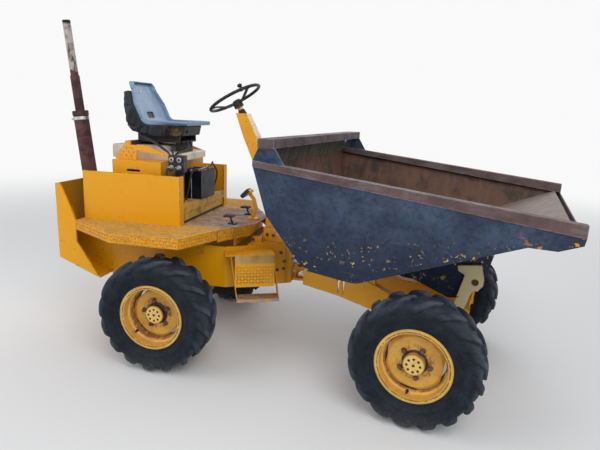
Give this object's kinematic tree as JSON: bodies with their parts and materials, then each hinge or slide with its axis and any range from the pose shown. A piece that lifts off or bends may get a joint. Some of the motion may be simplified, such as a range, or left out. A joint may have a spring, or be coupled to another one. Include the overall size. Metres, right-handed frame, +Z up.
{
  "type": "articulated front-tipping site dumper",
  "caption": "Articulated site dumper with a forward-tipping skip on the front half, and deck, engine cover, seat and exhaust on the rear half.",
  "frame": {"origin": "on the ground, under the centre of the machine's outer box as it parks", "axes": "+X forward along the rear half, +Y to the machine's left, +Z up"},
  "size_m": [3.5406, 1.8834, 2.2313],
  "materials": {
    "yellow_paint": "worn yellow paint with rust",
    "skip_outside": "mottled blue-black paint with chips",
    "rust": "bare rusty steel",
    "tyre": "worn rubber",
    "wheel_paint": "worn yellow paint, rusty in the folds",
    "steel": "greasy steel",
    "engine": "oily grey",
    "tank": "faded cream",
    "exhaust": "rusty, paler above",
    "battery": "black case",
    "seat_grey": "blue-grey moulding",
    "seat_black": "black, torn",
    "black": "matt black"
  },
  "bodies": {
    "rear_half": {"battery": "battery", "battery_shelf": "yellow_paint", "brake_pedal": "yellow_paint", "deck_left": "yellow_paint", "deck_right": "yellow_paint", "engine_block": "engine", "engine_cover": "yellow_paint", "exhaust": "exhaust", "foot_pedals": "black", "footplate": "yellow_paint", "fuel_tank": "tank", "pivot_pin": "steel", "rear_axle": "yellow_paint", "rear_chassis": "yellow_paint", "rear_guard": "yellow_paint", "seat_frame": "yellow_paint", "seat_pan": "seat_grey", "seat_shell": "seat_black", "side_panel_left": "yellow_paint", "side_panel_right": "yellow_paint", "steering_column": "yellow_paint", "step_left": "yellow_paint", "step_right": "yellow_paint", "tow_bracket": "yellow_paint", "valve_block": "steel"},
    "steering_wheel_body": {"steering_wheel": "black"},
    "steer_barrel": {"steer_ram_barrel": "yellow_paint"},
    "steer_rod": {"steer_ram_rod": "steel"},
    "rear_right_wheel": {"tyre_rear_right": "tyre", "wheel_rear_right": "wheel_paint"},
    "rear_left_wheel": {"tyre_rear_left": "tyre", "wheel_rear_left": "wheel_paint"},
    "front_half": {"front_axle": "yellow_paint", "front_chassis": "yellow_paint", "skip_posts": "yellow_paint"},
    "skip": {"skip_headboard": "rust", "skip_nose": "skip_outside", "skip_rims": "rust", "skip_tub": "skip_outside", "skip_underframe": "skip_outside"},
    "tip_barrel": {"tip_ram_barrel": "yellow_paint"},
    "tip_rod": {"tip_ram_rod": "steel"},
    "front_right_wheel": {"tyre_front_right": "tyre", "wheel_front_right": "wheel_paint"},
    "front_left_wheel": {"tyre_front_left": "tyre", "wheel_front_left": "wheel_paint"}
  },
  "joints": [
    {"name": "steer", "type": "hinge", "parent": "rear_half", "child": "front_half", "pos_m": [-0.01033, 0.14134, 0.53626], "axis": [0, 0, 1], "range_deg": [-25, 45]},
    {"name": "skip_tip", "type": "hinge", "parent": "front_half", "child": "skip", "pos_m": [1.17637, -0.0679, 0.75326], "axis": [0.1736, 0.9848, 0], "range_deg": [0, 75]},
    {"name": "tip_ram_swing", "type": "hinge", "parent": "front_half", "child": "tip_barrel", "pos_m": [0.24868, 0.09567, 0.54426], "axis": [0.1736, 0.9848, 0], "range_deg": [-13.17, 1]},
    {"name": "tip_ram_extend", "type": "slide", "parent": "tip_barrel", "child": "tip_rod", "axis": [0.9343, -0.1647, 0.3162], "range_m": [0, 0.262]},
    {"name": "steer_ram_swing", "type": "hinge", "parent": "rear_half", "child": "steer_barrel", "pos_m": [-0.44033, 0.37134, 0.44926], "axis": [0, 0, 1], "range_deg": [-2.97, 4.55]},
    {"name": "steer_ram_extend", "type": "slide", "parent": "steer_barrel", "child": "steer_rod", "axis": [0.9888, -0.1495, 0], "range_m": [-0.139, 0.079]},
    {"name": "steering_wheel_turn", "type": "hinge", "parent": "rear_half", "child": "steering_wheel_body", "pos_m": [-0.55032, 0.14134, 1.75626], "axis": [-0.5, 0, 0.866], "continuous": true},
    {"name": "rear_right_wheel_spin", "type": "hinge", "parent": "rear_half", "child": "rear_right_wheel", "pos_m": [-0.81932, -0.52465, 0.37826], "axis": [0, 1, 0], "continuous": true},
    {"name": "rear_left_wheel_spin", "type": "hinge", "parent": "rear_half", "child": "rear_left_wheel", "pos_m": [-0.81932, 0.80734, 0.37826], "axis": [0, 1, 0], "continuous": true},
    {"name": "front_right_wheel_spin", "type": "hinge", "parent": "front_half", "child": "front_right_wheel", "pos_m": [0.82239, -0.68176, 0.37826], "axis": [0.1736, 0.9848, 0], "continuous": true},
    {"name": "front_left_wheel_spin", "type": "hinge", "parent": "front_half", "child": "front_left_wheel", "pos_m": [1.05369, 0.63, 0.37826], "axis": [0.1736, 0.9848, 0], "continuous": true}
  ],
  "couplings": [
    {"joint": "tip_ram_swing", "follows": "skip_tip", "ratio": -0.1623},
    {"joint": "tip_ram_extend", "follows": "skip_tip", "m_per_rad": 0.1969},
    {"joint": "steer_ram_swing", "follows": "steer", "ratio": 0.0789},
    {"joint": "steer_ram_extend", "follows": "steer", "m_per_rad": -0.1716}
  ]
}
